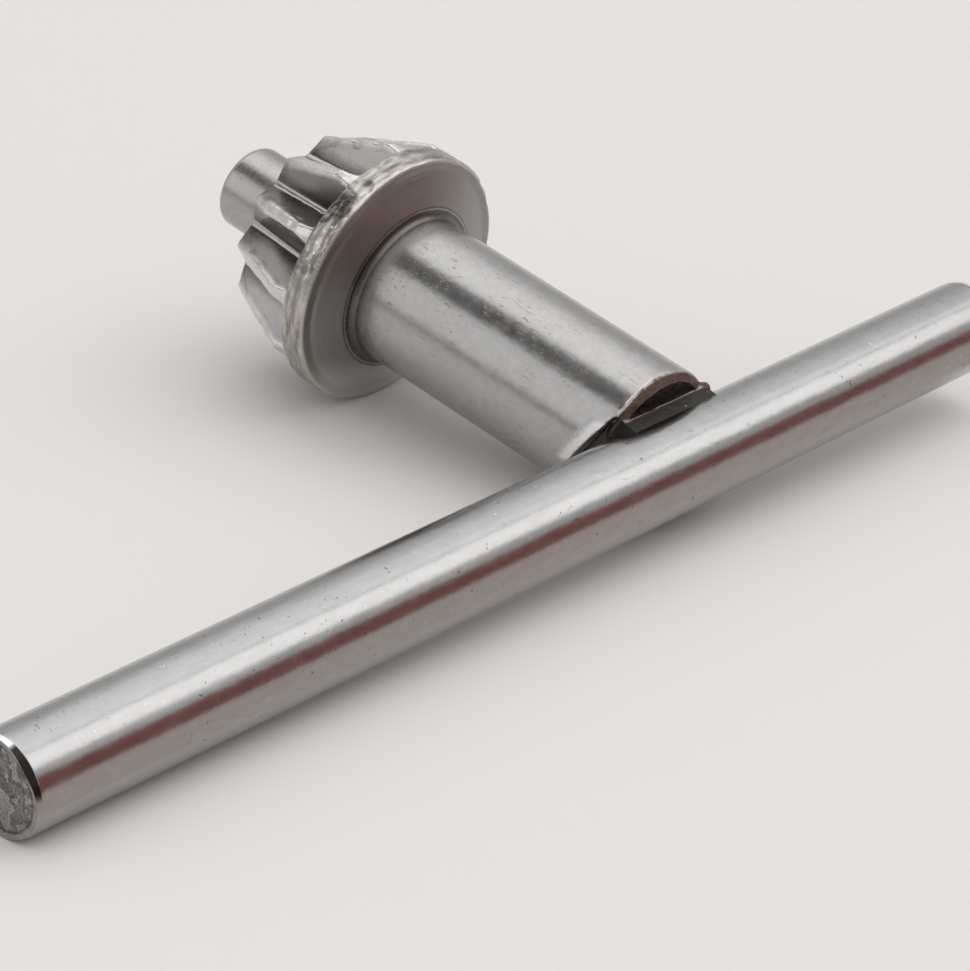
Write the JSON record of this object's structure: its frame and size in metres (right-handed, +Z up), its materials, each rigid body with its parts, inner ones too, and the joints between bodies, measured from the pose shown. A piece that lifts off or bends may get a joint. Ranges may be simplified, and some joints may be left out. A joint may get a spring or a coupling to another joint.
{
  "type": "drill chuck key",
  "caption": "A steel drill chuck key with a bevel pinion, a plain pilot and a cross handle of round bar welded across its shank.",
  "frame": {"origin": "on the bench, under the middle of the whole key's box", "axes": "X along the bench under the shank, towards the pilot; Y across it, within 2 degrees of the handle, towards its long arm; Z up from the bench"},
  "size_m": [0.0434, 0.0882, 0.0184],
  "materials": {
    "worn_steel": "worn bare steel with nicks",
    "polished_steel": "polished steel bar with fine scratches"
  },
  "bodies": {
    "root": {"pinion_shank": "worn_steel", "cross_handle": "polished_steel"}
  },
  "joints": []
}
